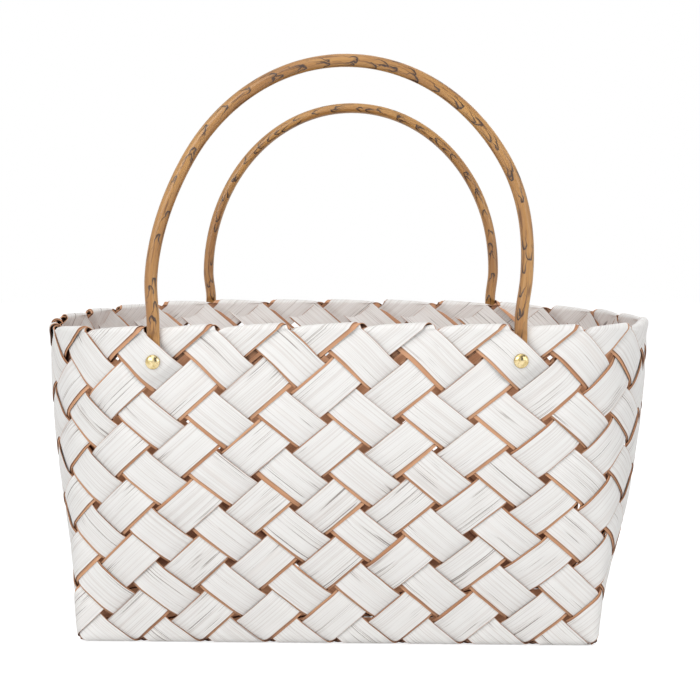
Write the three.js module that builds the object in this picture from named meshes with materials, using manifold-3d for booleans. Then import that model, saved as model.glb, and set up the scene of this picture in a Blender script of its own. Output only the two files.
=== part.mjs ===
// A plaited shopping basket: wood-chip strips woven on the bias over a flat base, with two bent cane handles.
// Each strip climbs one wall, crosses the base at 45 degrees, climbs another wall, and both of its ends fold
// over the rim to the inside. The handles slip behind a strip below the rim and are riveted there.
// Millimetres, +Z up, the front wall faces -Y, and the middle of the base stands on the origin.

import * as THREE from 'three';
import { mergeVertices } from 'three/addons/utils/BufferGeometryUtils.js';
import Module from 'manifold-3d';

const wasm = await Module();
wasm.setup();

// Strips
const stripWidth = 25;
const stripGap = 4; // between neighbouring strips, which leaves a small square hole at each corner
const stripThickness = 0.9;
const clearance = 0.32; // free play between pieces that touch

// Weave
const squaresLong = 8; // squares of the weave along the front edge of the base
const squaresDeep = 5;
const rows = 11; // rows of crossings from the rim, row 0, down to the edge of the base

// Body
const wallHeight = 204;
const rimLength = 390;
const rimDepth = 257;
const rimCornerRadius = 88;
const rimEndBulge = 8.5; // how far each end of the rim bows out between its corners
const rimDip = 4; // how much lower the rim lies at its ends than at its middle
const wallBulge = 0.275; // how early the walls lean out, as a share of the way from base to rim

// Handles
const caneDiameter = 7.8;
const handleSpan = 5; // squares between the legs of one handle
const legAside = 0.1; // squares between a leg and the middle of the crossing that covers it
const handleHeight = 364; // from the ground to the top of the arch
const archWidth = 225; // between the middles of the cane, where the arch is widest
const archWidestHeight = 232;
const tongueThickness = 2.4; // the shaved end that slips behind a strip
const tongueRoom = 0.95; // between the shaved end and the strip over it, which is flat where the wall curves
const tongueBelowRivet = 9;
const shaveAboveRim = 5; // how far above the rim the cane is round again on its inner side

// Rivets
const rivetRow = 1;
const rivetHeadDiameter = 9;
const rivetHeadHeight = 2.4;
const shankDiameter = 3;
const washerDiameter = 8.5;
const washerThickness = 0.7;
const clinchDiameter = 5.5;
const clinchHeight = 1.3;
const edgeRound = 0.4;

// Facets
const foldSteps = 3;
const caneSides = 8;
const caneSteps = 38;
const roundSides = 10;
const holeSides = 8;
const domeSteps = 3;

// Sizes that follow
const spacing = stripWidth + stripGap;
const square = spacing * Math.SQRT2;
const halfStrip = stripWidth / spacing / 2; // half a strip, in cells of the weave
const columns = 2 * (squaresLong + squaresDeep);
const layer = (stripThickness + clearance) / 2; // how far an over or under strip lies from the middle surface
const floorLevel = layer + stripThickness / 2;
const baseLength = squaresLong * square;
const baseDepth = squaresDeep * square;
const down = new THREE.Vector3(0, 0, -1);
const slopeStep = 0.05; // in squares and rows, where the slope of the wall is taken
const tiny = 1e-6; // in squares of the pattern
const weldDistance = 1e-4;

const paintedWood = new THREE.MeshStandardMaterial({ color: 0xefebe6, roughness: 0.75, metalness: 0 });
const cane = new THREE.MeshStandardMaterial({ color: 0xb98a4e, roughness: 0.5, metalness: 0 });
const brass = new THREE.MeshStandardMaterial({ color: 0xd6b66a, roughness: 0.22, metalness: 1 });

// Outline of the rim, from the middle of the front counter-clockwise as seen from above.
function rimOutline() {
  const x = rimLength / 2;
  const y = rimDepth / 2;
  const r = rimCornerRadius;
  const bow = x + 2 * rimEndBulge;
  const path = new THREE.Path();
  path.moveTo(0, -y);
  path.lineTo(x - r, -y);
  path.absarc(x - r, r - y, r, -Math.PI / 2, 0);
  path.quadraticCurveTo(bow, 0, x, y - r);
  path.absarc(x - r, y - r, r, 0, Math.PI / 2);
  path.lineTo(r - x, y);
  path.absarc(r - x, y - r, r, Math.PI / 2, Math.PI);
  path.quadraticCurveTo(-bow, 0, -x, r - y);
  path.absarc(r - x, r - y, r, Math.PI, 1.5 * Math.PI);
  path.lineTo(0, -y);
  path.arcLengthDivisions = 1600;
  return path;
}
const rim = rimOutline();

// The edge of the base at a column. Columns count squares from the front left corner, to the right.
function baseEdge(column) {
  const c = THREE.MathUtils.euclideanModulo(column, columns);
  const x = baseLength / 2;
  const y = baseDepth / 2;
  if (c < squaresLong) return new THREE.Vector2(c * square - x, -y);
  if (c < squaresLong + squaresDeep) return new THREE.Vector2(x, (c - squaresLong) * square - y);
  if (c < columns - squaresDeep) return new THREE.Vector2(x - (c - squaresLong - squaresDeep) * square, y);
  return new THREE.Vector2(-x, y - (c - columns + squaresDeep) * square);
}

// The middle surface of the wall at a column and a row of the weave.
function wallPoint(column, row) {
  const up = 1 - row / rows;
  const out = up + wallBulge * Math.sin(Math.PI * up);
  const turn = THREE.MathUtils.euclideanModulo((column - squaresLong / 2) / columns, 1);
  const top = rim.getPointAt(turn);
  const flat = baseEdge(column).lerp(top, out);
  const rimLevel = wallHeight - rimDip * (2 * top.x / rimLength) ** 2;
  return new THREE.Vector3(flat.x, flat.y, floorLevel + (rimLevel - floorLevel) * up);
}

// A place on the wall: its point, the way up, and an outward vector. That vector is mitred where the wall
// has a crease, so that layers offset along it keep their distance.
function wallPlace(column, row) {
  const point = wallPoint(column, row);
  const right = wallPoint(column + slopeStep, row).sub(point);
  const left = point.clone().sub(wallPoint(column - slopeStep, row));
  const up = wallPoint(column, row - slopeStep).sub(point).normalize();
  const a = right.cross(up).normalize();
  const b = left.cross(up).normalize();
  const normal = mitre(a, b);
  return { point, up, normal: row === rows ? mitre(normal.normalize(), down) : normal };
}

function mitre(a, b) {
  return a.clone().add(b).divideScalar(1 + a.dot(b));
}

// The pattern of the weave is flat: the base measures squaresLong by squaresDeep, and each wall lies folded
// out beyond its own edge of the base, two rows to a square. Each edge says how far out a place (x, y) of
// the pattern lies, in which column, and which axis of the pattern runs along the edge.
const edges = {
  front: { along: 'x', out: (x, y) => -y, column: (x, y) => x },
  right: { along: 'y', out: (x, y) => x - squaresLong, column: (x, y) => squaresLong + y },
  back: { along: 'x', out: (x, y) => y - squaresDeep, column: (x, y) => columns - squaresDeep - x },
  left: { along: 'y', out: (x, y) => -x, column: (x, y) => columns - y },
};

// Where a place of the pattern lies on the basket, for a strip that leaves the base over the two given edges.
function place(x, y, ends) {
  for (const edge of ends) {
    const out = edge.out(x, y);
    if (out > tiny) return wallPlace(edge.column(x, y), rows - 2 * out);
    if (out > -tiny) return wallPlace(edge.column(x, y), rows);
  }
  const point = new THREE.Vector3(x * square - baseLength / 2, y * square - baseDepth / 2, floorLevel);
  return { point, normal: down };
}

// The crossings of a strip, from one rim end to the other. On the pattern a rising strip runs along
// x + y = line, and a falling one along x - y = line. Over and under take turns, so that the strips of one
// row agree.
function crossings(rising, line) {
  const startsFront = rising ? line < squaresLong : line > 0;
  const endsBack = rising ? line > squaresDeep : line < squaresLong - squaresDeep;
  const ends = rising
    ? [startsFront ? edges.front : edges.right, endsBack ? edges.back : edges.left]
    : [startsFront ? edges.front : edges.left, endsBack ? edges.back : edges.right];
  const firstBase = startsFront ? 0 : rising ? line - squaresLong : -line;
  const lastBase = endsBack ? squaresDeep : rising ? line : squaresLong - line;
  const list = [];
  for (let k = Math.round(2 * firstBase) - rows; k <= Math.round(2 * lastBase) + rows; k++) {
    const y = k / 2;
    const x = rising ? line - y : line + y;
    const edge = ends.find((e) => e.out(x, y) > -tiny);
    const row = edge ? Math.round(rows - 2 * edge.out(x, y)) : undefined;
    const column = edge ? THREE.MathUtils.euclideanModulo(edge.column(x, y), columns) : undefined;
    const over = (k & 1) === (rising ? 1 : 0);
    list.push({ x, y, ends, edge, row, column, over });
  }
  return list;
}

// The two sides of a strip at one station. The outer face is the painted one, which the fold turns inward.
function station(left, right, level, facing = 1) {
  const at = (p, offset) => p.point.clone().addScaledVector(p.normal, level + facing * offset);
  const half = stripThickness / 2;
  const side = (p) => ({ outer: at(p, half), inner: at(p, -half) });
  return { left: side(left), right: side(right) };
}

// A station on the fold over the rim, which turns about the middle of the four layers there.
function foldStation(left, right, level, angle) {
  const middle = -2 * layer;
  const ring = (p, radius) => p.point.clone()
    .addScaledVector(p.normal, middle + radius * Math.cos(angle))
    .addScaledVector(p.up, radius * Math.sin(angle));
  const radius = level - middle;
  const half = stripThickness / 2;
  const side = (p) => ({ outer: ring(p, radius + half), inner: ring(p, radius - half) });
  return { left: side(left), right: side(right) };
}

// The end of a strip that climbs to its crossing in row 0. It folds over the rim along the line between the
// left and the right corner of that crossing, and lies down inside, cut off where the next crossing starts.
function rimStations(column, climbsRight, level) {
  const q = halfStrip;
  const leftCorner = wallPlace(column - q, 0);
  const rightCorner = wallPlace(column + q, 0);
  const bottomCorner = wallPlace(column, 2 * q);
  const inside = -4 * layer - level;
  const turn = climbsRight ? 1 : -1;
  const tailSide = wallPlace(column + turn * (0.5 - q), 1);
  const tailTop = wallPlace(column + turn * 0.5, 1 - 2 * q);
  const leftHalf = [leftCorner, bottomCorner];
  const rightHalf = [bottomCorner, rightCorner];
  const [climbs, descends] = climbsRight ? [leftHalf, rightHalf] : [rightHalf, leftHalf];
  const cutOff = climbsRight ? [tailSide, tailTop] : [tailTop, tailSide];
  const list = [station(...climbs, level)];
  for (let i = 0; i <= foldSteps; i++) {
    list.push(foldStation(leftCorner, rightCorner, level, (Math.PI * i) / foldSteps));
  }
  list.push(station(...descends, inside, -1), station(...cutOff, inside, -1));
  return list;
}

const backwards = (list) => list.reverse().map((s) => ({ left: s.right, right: s.left }));

// The axis of the pattern that the crease of a crossing lies along: along the edge of the base where the
// crossing sits on it, and up the wall above it.
function creaseAxis({ edge, row }) {
  if (!edge) return 'x';
  if (row === rows) return edge.along;
  return edge.along === 'x' ? 'y' : 'x';
}

// All stations of a strip. At a crossing both strips keep to the same four corners, one layer apart.
function stripStations(rising, line) {
  const list = crossings(rising, line);
  const q = halfStrip;
  const result = [];
  list.forEach((c, i) => {
    const level = c.over ? layer + lift(c) : -layer;
    if (i === 0 || i === list.length - 1) {
      const next = list[i === 0 ? 1 : i - 1];
      const climb = c.edge.column(c.x, c.y) - c.edge.column(next.x, next.y);
      const end = rimStations(c.column, climb > 0, level);
      result.push(...(i === 0 ? backwards(end) : end));
      return;
    }
    const corner = (dx, dy) => place(c.x + dx * q, c.y + dy * q, c.ends);
    const [east, west, inward, outward] = [corner(1, 0), corner(-1, 0), corner(0, 1), corner(0, -1)];
    const enter = rising ? station(east, outward, level) : station(outward, west, level);
    const leave = rising ? station(inward, west, level) : station(east, inward, level);
    enter.splitFromLeft = (creaseAxis(c) === 'x') === rising;
    result.push(enter, leave);
  });
  return result;
}

// A closed band through all stations. The flat of a crossing is split along its crease, so that both strips
// of the crossing bend alike.
function bandGeometry(stations) {
  const corners = [];
  const quad = (a, b, c, d) => corners.push(a, b, c, a, c, d);
  for (let i = 0; i + 1 < stations.length; i++) {
    const { left: a, right: b, splitFromLeft } = stations[i];
    const { left: d, right: c } = stations[i + 1];
    if (splitFromLeft) {
      quad(a.outer, b.outer, c.outer, d.outer);
      quad(c.inner, b.inner, a.inner, d.inner);
    } else {
      quad(b.outer, c.outer, d.outer, a.outer);
      quad(d.inner, c.inner, b.inner, a.inner);
    }
    quad(a.outer, d.outer, d.inner, a.inner);
    quad(c.outer, b.outer, b.inner, c.inner);
  }
  const first = stations[0];
  const last = stations[stations.length - 1];
  quad(first.right.outer, first.left.outer, first.left.inner, first.right.inner);
  quad(last.left.outer, last.right.outer, last.right.inner, last.left.inner);
  const soup = new THREE.BufferGeometry();
  soup.setAttribute('position', new THREE.Float32BufferAttribute(corners.flatMap((v) => v.toArray()), 3));
  return welded(soup);
}

// One vertex for each place, without the triangles that this closes up.
function welded(geometry) {
  const bare = geometry.clone();
  bare.deleteAttribute('normal');
  bare.deleteAttribute('uv');
  const merged = mergeVertices(bare, weldDistance);
  const index = [];
  for (let i = 0; i < merged.index.count; i += 3) {
    const [p, q, r] = [0, 1, 2].map((k) => merged.index.getX(i + k));
    if (p !== q && q !== r && r !== p) index.push(p, q, r);
  }
  merged.setIndex(index);
  return merged;
}

function toSolid(geometry) {
  const g = welded(geometry);
  const vertProperties = new Float32Array(g.attributes.position.array);
  const triVerts = new Uint32Array(g.index.array);
  return new wasm.Manifold(new wasm.Mesh({ numProp: 3, vertProperties, triVerts }));
}

function toGeometry(solid) {
  const mesh = solid.getMesh();
  const geometry = new THREE.BufferGeometry();
  geometry.setAttribute('position', new THREE.Float32BufferAttribute(mesh.vertProperties, 3));
  geometry.setIndex([...mesh.triVerts]);
  return geometry;
}

function cut(geometry, tools) {
  return toGeometry(tools.reduce((rest, tool) => rest.subtract(toSolid(tool)), toSolid(geometry)));
}

// The end of each leg slips behind the over strip of a crossing in the row that holds the rivets, a little
// to the side on which that strip comes down from the rim.
const coverShift = THREE.MathUtils.euclideanModulo((rows - rivetRow + 1) / 2, 1);
const leftCover = Math.round((squaresLong - handleSpan) / 2 - coverShift) + coverShift;
const frontCovers = [leftCover, squaresLong - leftCover];
const covers = [...frontCovers, ...frontCovers.map((column) => column + columns / 2)];
const fallingCovers = (rows - rivetRow) % 2 === 0;
const legColumn = (cover) => cover + (fallingCovers ? legAside : -legAside);
const tongueInner = layer + stripThickness / 2 + clearance;
const tongueOuter = tongueInner + tongueThickness;
const liftedLevel = tongueOuter + tongueRoom + stripThickness / 2;

const sameColumn = (a, b) => Math.abs(a - b) < tiny;
const holdsRivet = (c) => c.row === rivetRow && covers.some((column) => sameColumn(column, c.column));

// How far a strip is lifted where it covers the shaved end of a handle.
function lift(c) {
  return holdsRivet(c) ? liftedLevel - layer : 0;
}

// The axes at the rivet of a leg: X along the wall, Y outward and Z up the wall, from its middle surface.
function rivetFrame(cover) {
  const { point, up, normal } = wallPlace(legColumn(cover), rivetRow);
  const outward = normal.clone().normalize();
  const along = new THREE.Vector3().crossVectors(outward, up).normalize();
  const upward = new THREE.Vector3().crossVectors(along, outward);
  return new THREE.Matrix4().makeBasis(along, outward, upward).setPosition(point);
}

function lathe(points) {
  return new THREE.LatheGeometry(points.map(([r, h]) => new THREE.Vector2(r, h)), roundSides);
}

// The wall bends a little at a leg, so the washer gets twice the clearance.
const washerTop = -layer - stripThickness / 2 - 2 * clearance;
const clinchTop = washerTop - washerThickness - clearance;
const headBase = liftedLevel + stripThickness / 2 + clearance;

// A domed rivet with its tail clinched over the washer.
function rivetGeometry() {
  const head = rivetHeadDiameter / 2;
  const shank = shankDiameter / 2;
  const clinch = clinchDiameter / 2;
  const points = [[0, clinchTop - clinchHeight], [clinch - edgeRound, clinchTop - clinchHeight]];
  points.push([clinch, clinchTop - clinchHeight + edgeRound], [clinch, clinchTop], [shank, clinchTop]);
  points.push([shank, headBase], [head, headBase]);
  for (let i = 1; i <= domeSteps; i++) {
    const angle = (Math.PI / 2) * (i / domeSteps);
    const height = headBase + edgeRound + (rivetHeadHeight - edgeRound) * Math.sin(angle);
    points.push([head * Math.cos(angle), height]);
  }
  points[points.length - 1][0] = 0;
  return lathe(points);
}

function washerGeometry() {
  const inner = shankDiameter / 2 + clearance;
  const outer = washerDiameter / 2;
  const low = washerTop - washerThickness;
  return lathe([[inner, low], [outer, low], [outer, washerTop], [inner, washerTop], [inner, low]]);
}

// What clears the shank of a rivet, through every layer of the wall.
function rivetHole(cover) {
  const radius = shankDiameter / 2 + clearance;
  const reach = 2 * (headBase - clinchTop);
  return new THREE.CylinderGeometry(radius, radius, reach, holeSides).applyMatrix4(rivetFrame(cover));
}

// How far up the wall the rim lies from the rivet of a leg.
function rivetToRim(cover) {
  const column = legColumn(cover);
  return wallPoint(column, 0).distanceTo(wallPoint(column, rivetRow));
}

// The middle line of the front handle: up behind a strip, over an arch that is half an ellipse, and down.
function handlePath() {
  const [left, right] = frontCovers.map(rivetFrame);
  const middle = (tongueInner + tongueOuter) / 2;
  const at = (frame, height) => new THREE.Vector3(0, middle, height).applyMatrix4(frame);
  const kneeHeight = rivetToRim(frontCovers[0]) + shaveAboveRim;
  const centre = at(left, kneeHeight).add(at(right, kneeHeight)).divideScalar(2);
  const a = archWidth / 2;
  const top = handleHeight - caneDiameter / 2;
  const pull = 0.5523; // the share of a quarter ellipse's half axis that its control points take
  const onArch = (across, height) => new THREE.Vector3(centre.x + across * a, centre.y, height);
  const widest = (side, share) => onArch(side, archWidestHeight + share * (top - archWidestHeight));
  const crown = (side, share) => onArch(side * share, top);
  const path = new THREE.CurvePath();
  const leg = (frame, side) => {
    const knee = at(frame, kneeHeight);
    const reach = (archWidestHeight - knee.z) / 3;
    const foot = at(frame, -tongueBelowRivet);
    return { foot, knee, above: at(frame, kneeHeight + reach), below: onArch(side, archWidestHeight - reach) };
  };
  const l = leg(left, -1);
  const r = leg(right, 1);
  path.add(new THREE.LineCurve3(l.foot, l.knee));
  path.add(new THREE.CubicBezierCurve3(l.knee, l.above, l.below, widest(-1, 0)));
  path.add(new THREE.CubicBezierCurve3(widest(-1, 0), widest(-1, pull), crown(-1, pull), crown(0, 0)));
  path.add(new THREE.CubicBezierCurve3(crown(0, 0), crown(1, pull), widest(1, pull), widest(1, 0)));
  path.add(new THREE.CubicBezierCurve3(widest(1, 0), r.below, r.above, r.knee));
  path.add(new THREE.LineCurve3(r.knee, r.foot));
  return path;
}

// The cane, round along the arch and shaved flat at both ends, with a hole for each rivet.
function handleGeometry() {
  const round = new THREE.Shape();
  round.absarc(0, 0, caneDiameter / 2, 0, 2 * Math.PI);
  const along = { extrudePath: handlePath(), steps: caneSteps, curveSegments: caneSides / 2 };
  const wide = 2 * caneDiameter;
  const tools = [];
  for (const cover of frontCovers) {
    const frame = rivetFrame(cover);
    const rimAbove = rivetToRim(cover);
    const slab = (from, to, top) => {
      const block = new THREE.BoxGeometry(wide, to - from, top + wide);
      return block.translate(0, (from + to) / 2, (top - wide) / 2).applyMatrix4(frame);
    };
    tools.push(slab(-wide, tongueInner, rimAbove + shaveAboveRim));
    tools.push(slab(tongueOuter, wide, rimAbove));
    tools.push(rivetHole(cover));
  }
  return cut(new THREE.ExtrudeGeometry(round, { ...along, bevelEnabled: false }), tools);
}

const basket = new THREE.Group();

function add(name, geometry, material, parent = basket) {
  const mesh = new THREE.Mesh(geometry, material);
  mesh.name = name;
  parent.add(mesh);
}

// The strips, numbered along the pattern from left to right.
for (const rising of [true, false]) {
  for (let i = 0; i < squaresLong + squaresDeep; i++) {
    const line = i + 0.5 - (rising ? 0 : squaresDeep);
    const band = bandGeometry(stripStations(rising, line));
    const holes = crossings(rising, line).filter(holdsRivet).map((c) => rivetHole(c.column));
    const name = `strip_${rising ? 'rising' : 'falling'}_${String(i + 1).padStart(2, '0')}`;
    add(name, holes.length ? cut(band, holes) : band, paintedWood);
  }
}

// The back of the basket is the front turned half way round.
for (const wall of ['front', 'back']) {
  const half = new THREE.Group();
  half.rotation.z = wall === 'front' ? 0 : Math.PI;
  basket.add(half);
  add(`handle_${wall}`, handleGeometry(), cane, half);
  frontCovers.forEach((cover, i) => {
    const side = (i === 0) === (wall === 'front') ? 'left' : 'right';
    const frame = rivetFrame(cover);
    add(`rivet_${wall}_${side}`, rivetGeometry().applyMatrix4(frame), brass, half);
    add(`washer_${wall}_${side}`, washerGeometry().applyMatrix4(frame), brass, half);
  });
}

export default basket;
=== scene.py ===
import math

import bpy
import numpy as np
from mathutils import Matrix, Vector

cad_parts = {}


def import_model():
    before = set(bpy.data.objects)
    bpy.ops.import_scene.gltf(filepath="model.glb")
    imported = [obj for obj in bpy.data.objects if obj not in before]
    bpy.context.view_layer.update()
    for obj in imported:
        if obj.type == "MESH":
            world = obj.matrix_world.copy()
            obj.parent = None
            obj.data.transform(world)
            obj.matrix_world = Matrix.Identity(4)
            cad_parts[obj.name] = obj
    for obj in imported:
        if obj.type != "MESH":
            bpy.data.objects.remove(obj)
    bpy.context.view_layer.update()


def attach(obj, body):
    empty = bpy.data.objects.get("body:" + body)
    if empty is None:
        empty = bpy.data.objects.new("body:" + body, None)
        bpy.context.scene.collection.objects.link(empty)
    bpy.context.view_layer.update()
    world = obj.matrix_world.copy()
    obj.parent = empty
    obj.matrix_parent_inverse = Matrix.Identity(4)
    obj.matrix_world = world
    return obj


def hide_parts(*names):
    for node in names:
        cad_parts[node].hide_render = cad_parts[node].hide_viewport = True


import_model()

# The basket is worked out in millimetres, as the CAD is, and meshes are made in metres.
MM = 0.001
STRIP_WIDTH = 25.0
STRIP_GAP = 4.0
STRIP_THICKNESS = 0.9
CLEARANCE = 0.32
SQUARES_LONG = 8
SQUARES_DEEP = 5
ROWS = 11
WALL_HEIGHT = 204.0
RIM_LENGTH = 390.0
RIM_DEPTH = 257.0
RIM_CORNER_RADIUS = 88.0
RIM_END_BULGE = 8.5
RIM_DIP = 4.0
WALL_BULGE = 0.275
CANE_DIAMETER = 7.8
LEG_ASIDE = 0.1
HANDLE_HEIGHT = 364.0
ARCH_WIDTH = 225.0
ARCH_WIDEST_HEIGHT = 232.0
TONGUE_THICKNESS = 2.4
TONGUE_ROOM = 0.95
TONGUE_BELOW_RIVET = 9.0
SHAVE_ABOVE_RIM = 5.0
RIVET_ROW = 1
RIVET_HEAD_DIAMETER = 9.0
RIVET_HEAD_HEIGHT = 2.4
SHANK_DIAMETER = 3.0
WASHER_DIAMETER = 8.5
WASHER_THICKNESS = 0.7
CLINCH_DIAMETER = 5.5
CLINCH_HEIGHT = 1.3

PITCH = STRIP_WIDTH + STRIP_GAP
SQUARE = PITCH * math.sqrt(2)
COLUMNS = 2 * (SQUARES_LONG + SQUARES_DEEP)
BASE_LENGTH = SQUARES_LONG * SQUARE
BASE_DEPTH = SQUARES_DEEP * SQUARE
RIM_OUT = ROWS / 2
LAYER = (STRIP_THICKNESS + CLEARANCE) / 2
FLOOR_LEVEL = LAYER + STRIP_THICKNESS / 2
TONGUE_INNER = FLOOR_LEVEL + CLEARANCE
TONGUE_OUTER = TONGUE_INNER + TONGUE_THICKNESS
HEAD_BASE = TONGUE_OUTER + TONGUE_ROOM + STRIP_THICKNESS + CLEARANCE
WASHER_TOP = -FLOOR_LEVEL - 2 * CLEARANCE

# Plies of a strip: their section, and how far each wanders aside and changes its width on its way. At most
# ends the inner ply lies lower than the outer one, and at a share of them higher, but less far.
PLY_THICKNESS = 0.42
PLY_OFFSET = 0.25
OUTER_WIDTH = 22.8
INNER_WIDTH = 24.3
OUTER_WANDER = 0.35
INNER_WANDER = 0.55
WIDTH_WANDER = 0.012
INNER_ASIDE = (0.4, 1.8)
ASIDE_UPWARD_SHARE = 0.18
ASIDE_UPWARD_SIZE = 0.6

# Waves of a strip over and under the others: how high and steep they are on the base and on the walls, from
# how many squares up they are a wall's, and how much a strip cups and tips where it lies on top. The number
# of random tips that a strip draws, and which of them belongs to crossing 0. How far a cane lifts a strip.
WAVE_ON_BASE = 0.62
WAVE_ON_WALL = 1.05
STEEP_ON_BASE = 4.3
STEEP_ON_WALL = 2.2
WALL_WAVES_FROM = 0.8
CUPPING = 0.22
TIPPING = 0.25
TILTS = 64
TILT_MIDDLE = 30
COVER_BELOW_HEAD = 0.6
COVER_LIFT = HEAD_BASE - COVER_BELOW_HEAD - WAVE_ON_WALL

# The ridge in a strip over the cane behind it: its half width in columns, and how far it reaches below and
# above the rivet's row in squares, and along the strip in crossings, each with the length of its fade
RIDGE_HALF = 0.45
RIDGE_BELOW, RIDGE_BELOW_FADE = 0.5, 0.42
RIDGE_ABOVE, RIDGE_ABOVE_FADE = 1.2, 0.4
RIDGE_ALONG, RIDGE_ALONG_FADE = 0.57, 0.21

# The end of a strip: how much nearer to the rim it lies than the pattern has it, how far its edges curl up or
# are pinned down, how far behind the middle surface its fold is centred, how much of the grain's length a
# radian of the fold takes, and how high or low its tail lies inside
RIM_SHIFT = 2.5
CURL = 0.9
PINNED = 0.8
FOLD_DEPTH = 1.4
GRAIN_ROUND_FOLD = 2.5
TAIL_HIGH = 0.0
TAIL_LOW = -1.3

# In crossings: where a strip's end begins before the last one, how far its tail stops short of the next, and
# where and over what length the tail sinks, if the end came out on top there or lay under
END_BEGINS = 0.55
TAIL_SHORTENED = 0.45
TOP_SINKS = (0.25, 0.25)
UNDER_SINKS = (0.4, 0.35)
UNDER_TUCKS = (1.2, 0.3)

# In squares: how wide the edges and corners of the base are rounded, and how much wider a corner is above
EDGE_BEND = 0.12
CORNER_BEND = 0.12
CORNER_BEND_UPWARD = 0.5

# A basket made by hand: its rim is twisted by a share of a column, both its ends shift the same way, its rim
# tilts unevenly and its arches sway. The rates say how soon on the way up the ends and the arches do so.
RIM_TWIST = 0.1
END_SHIFT = 4.5
END_SHIFT_RATE = 2.5
RIM_TILT = 3.0
TILT_UNEVENNESS = 0.4
FRONT_SWAY = 5.5
BACK_SWAY = 1.0
SWAY_RATE = 1.6

# Metres by which the stretches of grain lie apart, from strip to strip and between families, plies and faces
STRIPS_APART, FAMILIES_APART, PLIES_APART, FACES_APART = 0.7, 0.35, 13, 0.1

# Rounded edges of the turned metal
HEAD_CHAMFER = 0.3
HEAD_LIP = 0.05
HEAD_LIP_HEIGHT = 0.1
HEAD_EDGE = 0.35
CLINCH_EDGE = 0.7
WASHER_BEVEL = 0.15

# Canes: how uneven their thickness is, in waves of what lengths, and how long their rounded tips are. How
# the flat ends pass into the round cane: over what length, by how much lower than the rim and the knee, how
# deep, and how far to each side of the leg.
CANE_UNEVENNESS = 0.012
CANE_WAVES = (7, 13, 29)
CANE_TIP = 4.0
SHAVE_LENGTH = 12
SHAVE_LEAD = 4
SHAVE_DEPTH = 8
SHAVE_REACH = 30

# Places and sides of the meshes
PLACES_IN_RIM_PIECE = 400
PLACES_PER_CROSSING = 14
PLACES_TO_RIM = 12
PLACES_ROUND_FOLD = 14
PLACES_IN_TAIL = 9
PLACES_ACROSS = 7
PLACES_IN_TONGUE, PLACES_IN_CLIMB, PLACES_IN_CROWN = 60, 40, 160
CANE_PLACES = 560
CANE_SIDES = 32
TURNED_SIDES = 48
PLACES_IN_CLINCH = 7
PLACES_IN_DOME = 15

# From how many degrees on an edge is shown sharp
STRIP_CREASE, CANE_CREASE, METAL_CREASE = 40, 50, 35


def smooth(t):
    """0 below 0, 1 above 1, and a smooth turn between them."""
    t = np.clip(t, 0.0, 1.0)
    return t * t * (3 - 2 * t)


def fade(d, start_and_length):
    """0 before the start, 1 when its length has passed, and a smooth turn between them."""
    start, length = start_and_length
    return smooth((d - start) / length)


def ramp(d, width):
    """0 below -width, d above width, and a smooth turn between them."""
    u = np.clip((d + width) / (2 * width), 0.0, 1.0)
    return np.where(d > width, d, 2 * width * (u**3 - u**4 / 2))


# Shape of the basket


def rim_outline():
    """The rim from the middle of the front round to it: shares of its length, and points."""
    x, y, r = RIM_LENGTH / 2, RIM_DEPTH / 2, RIM_CORNER_RADIUS
    bow = x + 2 * RIM_END_BULGE
    t = np.linspace(0, 1, PLACES_IN_RIM_PIECE)[:-1, None]

    def line(a, b):
        return np.array(a) * (1 - t) + np.array(b) * t

    def arc(cx, cy, start):
        angle = math.radians(start) + t * math.pi / 2
        return np.hstack([cx + r * np.cos(angle), cy + r * np.sin(angle)])

    def curve(a, b, c):
        return np.array(a) * (1 - t) ** 2 + np.array(b) * 2 * t * (1 - t) + np.array(c) * t**2

    pieces = [line((0, -y), (x - r, -y)), arc(x - r, r - y, -90), curve((x, r - y), (bow, 0), (x, y - r))]
    pieces += [arc(x - r, y - r, 0), line((x - r, y), (r - x, y)), arc(r - x, y - r, 90)]
    pieces += [curve((-x, y - r), (-bow, 0), (-x, r - y)), arc(r - x, r - y, 180), line((r - x, -y), (0, -y))]
    points = np.vstack(pieces + [np.array([[0, -y]])])
    length = np.concatenate([[0], np.cumsum(np.linalg.norm(np.diff(points, axis=0), axis=1))])
    return length / length[-1], points


RIM_SHARE, RIM_POINTS = rim_outline()
RIM_PITCH = np.sum(np.linalg.norm(np.diff(RIM_POINTS, axis=0), axis=1)) / COLUMNS
CORNER_COLUMNS = [0, SQUARES_LONG, SQUARES_LONG + SQUARES_DEEP, COLUMNS - SQUARES_DEEP, COLUMNS]
CORNER_X = np.array([-1, 1, 1, -1, -1]) * BASE_LENGTH / 2
CORNER_Y = np.array([-1, -1, 1, 1, -1]) * BASE_DEPTH / 2
SIDE_WAYS = np.array([[1, 0], [0, 1], [-1, 0], [0, -1]]) * SQUARE


def base_edge(column):
    """The place of a column on the edge of the base."""
    c = np.mod(column, COLUMNS)
    return np.stack([np.interp(c, CORNER_COLUMNS, CORNER_X), np.interp(c, CORNER_COLUMNS, CORNER_Y)], -1)


def corner_softening(column, width):
    """How far the edge moves inward where its corner is rounded over the given share of a square."""
    shift = np.zeros(column.shape + (2,))
    for i, corner in enumerate(CORNER_COLUMNS[:-1]):
        d = np.mod(column - corner + COLUMNS / 2, COLUMNS) - COLUMNS / 2
        before, after = SIDE_WAYS[i - 1], SIDE_WAYS[i]
        turned = ramp(d, width)
        amount = np.where(d < 0, turned, turned - d)
        shift += np.where(np.abs(d) < width, amount, 0.0)[..., None] * (after - before)
    return shift


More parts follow.
